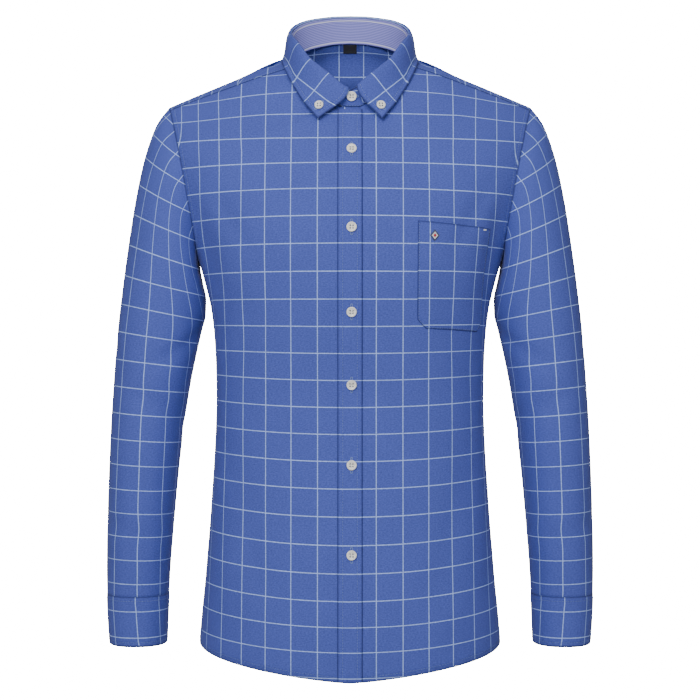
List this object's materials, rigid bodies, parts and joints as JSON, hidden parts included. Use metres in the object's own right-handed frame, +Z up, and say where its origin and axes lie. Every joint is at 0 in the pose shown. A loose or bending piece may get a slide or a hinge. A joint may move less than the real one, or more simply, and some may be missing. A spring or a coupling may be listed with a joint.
{
  "type": "button-down oxford shirt",
  "caption": "Long-sleeved cotton shirt with a windowpane check, buttoned to the neck, with a button-down collar, chest pocket and curved hem, filled out as worn.",
  "frame": {"origin": "between the two neck points of the shoulders, on the centre plane, where the shirt hangs on its wearer", "axes": "+Z up towards the collar, -Y to the front with the buttons, +X to the wearer's left"},
  "size_m": [0.5838, 0.2433, 0.7966],
  "materials": {
    "back": "checked oxford cloth, matt",
    "button_collar_left": "polished, off-white",
    "button_collar_right": "polished, off-white",
    "button_cuff_left": "polished, off-white",
    "button_cuff_right": "polished, off-white",
    "button_front_1": "polished, off-white",
    "button_front_2": "polished, off-white",
    "button_front_3": "polished, off-white",
    "button_front_4": "polished, off-white",
    "button_front_5": "polished, off-white",
    "button_front_6": "polished, off-white",
    "button_stand": "polished, off-white",
    "collar_facing": "fine striped cotton, matt",
    "collar_leaf": "checked oxford cloth, matt",
    "collar_stand": "checked oxford cloth, matt",
    "cuff_left": "checked oxford cloth, matt",
    "cuff_right": "checked oxford cloth, matt",
    "front_left": "checked oxford cloth, matt",
    "front_right": "checked oxford cloth, matt",
    "neck_label": "woven tape, matt",
    "placket": "checked oxford cloth, matt",
    "pocket": "checked oxford cloth, matt",
    "sleeve_left": "checked oxford cloth, matt",
    "sleeve_placket_left": "checked oxford cloth, matt",
    "sleeve_placket_right": "checked oxford cloth, matt",
    "sleeve_right": "checked oxford cloth, matt",
    "yoke": "checked oxford cloth, matt"
  },
  "bodies": {
    "root": {"back": "back", "button_collar_left": "button_collar_left", "button_collar_right": "button_collar_right", "button_cuff_left": "button_cuff_left", "button_cuff_right": "button_cuff_right", "button_front_1": "button_front_1", "button_front_2": "button_front_2", "button_front_3": "button_front_3", "button_front_4": "button_front_4", "button_front_5": "button_front_5", "button_front_6": "button_front_6", "button_stand": "button_stand", "collar_facing": "collar_facing", "collar_leaf": "collar_leaf", "collar_stand": "collar_stand", "cuff_left": "cuff_left", "cuff_right": "cuff_right", "front_left": "front_left", "front_right": "front_right", "neck_label": "neck_label", "placket": "placket", "pocket": "pocket", "sleeve_left": "sleeve_left", "sleeve_placket_left": "sleeve_placket_left", "sleeve_placket_right": "sleeve_placket_right", "sleeve_right": "sleeve_right", "yoke": "yoke"}
  },
  "joints": []
}
